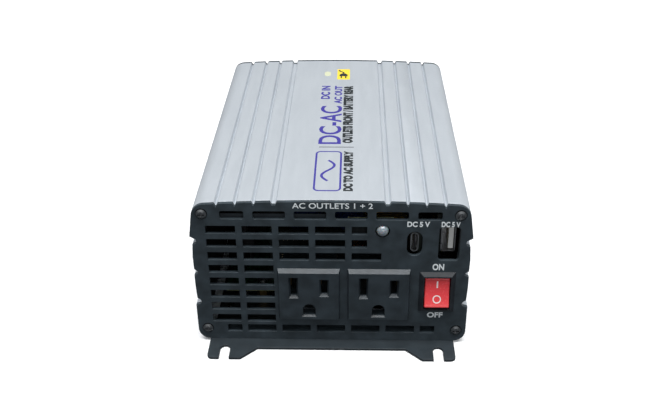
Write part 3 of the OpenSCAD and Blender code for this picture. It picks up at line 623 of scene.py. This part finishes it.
def small_components(looks):
    """Chip resistors and controller legs on the control board, and chip resistors on the main one."""
    chip, tin = looks["chip_black"], looks["tinned_brass"]
    long, cap, tall, face = 1.4, 0.35, 0.9, 30.05
    body, ends = [], []
    for row in range(4):
        for i in range(7):
            x, z = -26 + i * 4.4, 31.5 - row * 4.2
            at_controller = -23 < x < -11 and z < 29.5
            if not at_controller:
                body.append(((x, 29.45, z), (x + long, face, z + tall)))
                ends.append(((x - cap, 29.5, z), (x, face, z + tall)))
                ends.append(((x + long, 29.5, z), (x + long + cap, face, z + tall)))
    solid("chip_resistors", body, chip, edge=0.05)
    solid("chip_resistor_ends", ends, tin, edge=0.05)
    leg_pitch = 1.27
    legs = []
    for x0, x1 in ((-22.9, -21.95), (-12.05, -11.1)):
        legs += [((x0, 29.1, 19 + i * leg_pitch), (x1, 29.5, 19.45 + i * leg_pitch)) for i in range(7)]
    solid("controller_legs", legs, tin, edge=0.05)
    top = (BOARD_TOP - PLATE_TOP) / MM
    row = [((-34 + i * 5, 84.5, top - 0.02), (-31 + i * 5, 86, top + 0.8)) for i in range(6)]
    row += [((-30, 30 + i * 4, top - 0.02), (-28.2, 31 + i * 4, top + 0.7)) for i in range(9)]
    solid("board_resistors", row, chip, edge=0.12)


def transformer_tape():
    """Plain yellow tape round the middle of both transformer cores."""
    tape = moulded("tape_yellow", (0.80, 0.52, 0.03), 0.3, 0.05, Coat_Weight=0.3)
    low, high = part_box("transformer_cores")
    core_w = 0.026                               # width of one core, in metres
    half, thick, drop = 5, 0.15, 31
    y0, y1, z = (low.y - FRONT) / MM, (high.y - FRONT) / MM, (high.z - PLATE_TOP) / MM
    for name, x in (("left", low.x), ("right", high.x - core_w)):
        centre = (x + core_w / 2) / MM
        blocks = [((centre - half, y0 - thick, z), (centre + half, y1 + thick, z + thick)),
                  ((centre - half, y0 - thick, z - drop), (centre + half, y0, z)),
                  ((centre - half, y1, z - drop), (centre + half, y1 + thick, z))]
        solid("core_tape_" + name, blocks, tape)


def can_tops(looks):
    """Bare metal tops of the electrolytic capacitors."""
    for group, count, radius in (("bulk_capacitors", 2, 7.6), ("input_capacitors", 3, 3.9)):
        low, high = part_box(group)
        wide = (high.y - low.y) / 2
        for i in range(count):
            x = low.x + wide + (high.x - low.x - 2 * wide) * i / (count - 1)
            at = Vector((x, (low.y + high.y) / 2, high.z))
            turned("%s_top_%d" % (group, i), at, (0, 0, 1),
                   [(radius, -0.3), (radius, 0.05), (radius - 0.5, 0.15), (0.6, 0.15)],
                   looks["bright_steel"])


# ---------- rear marks ----------

ON_REAR = Matrix(((-1, 0, 0, 0), (0, 0, 1, 0), (0, 1, 0, 0), (0, 0, 0, 1)))


def rear_shape(name, loops, x, z, material):
    """Flat shape on the rear panel, seen from behind, with x and z in millimetres."""
    mesh = flat_shape(name, loops)
    at = Vector((x * MM, REAR + PRINT_T / 2 * MM, PLATE_TOP + z * MM))
    mesh.transform(Matrix.Translation(at) @ ON_REAR)
    print_piece(name, mesh, material)


def rear_prints(white):
    """Plus and minus signs by the battery posts, a line under them and the sign of an earth connection."""
    plus_x, minus_x, sign_z = 24.5, 42.5, 26.8
    rear_shape("plus_print_across", [rounded(4.2, 0.9, 0.2)], plus_x, sign_z, white)
    rear_shape("plus_print_up", [rounded(0.9, 1.6, 0.2, 0, 1.25), rounded(0.9, 1.6, 0.2, 0, -1.25)],
               plus_x, sign_z, white)
    rear_shape("minus_print", [rounded(4.2, 0.9, 0.2)], minus_x, sign_z, white)
    bars = [rounded(4.4, 0.6, 0.2), rounded(2.8, 0.6, 0.2, 0, -1.1), rounded(1.3, 0.6, 0.2, 0, -2.2),
            rounded(0.6, 1.7, 0.2, 0, 1.15)]
    rear_shape("earth_print", bars, 25.5, 13.6, white)
    rear_shape("post_line_print", [rounded(31, 0.5, 0.2)], 33.5, 23.4, white)


# ---------- switch marks ----------

def on_surface(name, node, strips, material, body):
    """Thin piece laid on a node's front; each strip is two rows of (x, z) points in metres."""
    shape = bmesh.new()
    graph = bpy.context.evaluated_depsgraph_get()
    tree = BVHTree.FromObject(NODES[node], graph)
    for first, second in strips:
        rows = []
        for row in (first, second):
            hits = [tree.ray_cast(Vector((x, FRONT - 0.05, z)), Vector((0, 1, 0)))[0] for x, z in row]
            rows.append([shape.verts.new(hit - Vector((0, 0.00001, 0))) for hit in hits])
        for i in range(len(first) - 1):
            shape.faces.new((rows[0][i], rows[0][i + 1], rows[1][i + 1], rows[1][i]))
    bmesh.ops.remove_doubles(shape, verts=shape.verts, dist=1e-7)
    bmesh.ops.recalc_face_normals(shape, faces=shape.faces)
    mesh = bpy.data.meshes.new(name)
    shape.to_mesh(mesh)
    piece = print_piece(name, mesh, material, body)
    thick = piece.modifiers.new("thick", "SOLIDIFY")
    thick.thickness = 0.00003
    thick.offset = 0
    return piece


def switch_marks(white):
    """Bar and ring of the rocker, which ride on it."""
    low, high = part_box("switch_housing")
    middle = (low + high) / 2
    bar = []
    for side in (-0.3, 0.3):
        bar.append([(middle.x + side * MM, middle.z + (2.7 + 3.3 * i / 8) * MM) for i in range(9)])
    on_surface("rocker_on_mark", "switch_rocker", [bar], white, "rocker")
    ring = []
    for radius in (1.3, 1.75):
        turns = [math.radians(7.5 * i) for i in range(49)]
        ring.append([(middle.x + radius * math.cos(t) * MM, middle.z + (radius * math.sin(t) - 2.4) * MM)
                     for t in turns])
    on_surface("rocker_off_mark", "switch_rocker", [ring], white, "rocker")


make_camera()
LOOKS = make_materials()
make_floor()
make_light()
for NAME in ("top_cover", "base_plate", "front_panel", "rear_panel"):
    soften(NAME, 0.12, merge_flat=NAME != "base_plate")
for NAME in ("outlet_left", "outlet_right", "switch_housing"):
    soften(NAME, 0.15)
soften("switch_rocker", 0.45)
WHITE = ink("print_white", (0.88, 0.93, 0.95))
front_prints(WHITE)
hood_prints()
switch_marks(ink("mark_white", (0.95, 0.86, 0.84)))
rear_prints(WHITE)
insulation()
# black sheet of painted shade behind three of the upper vents
vent_shade_sheet()
port_contacts()
small_components(LOOKS)
transformer_tape()
can_tops(LOOKS)
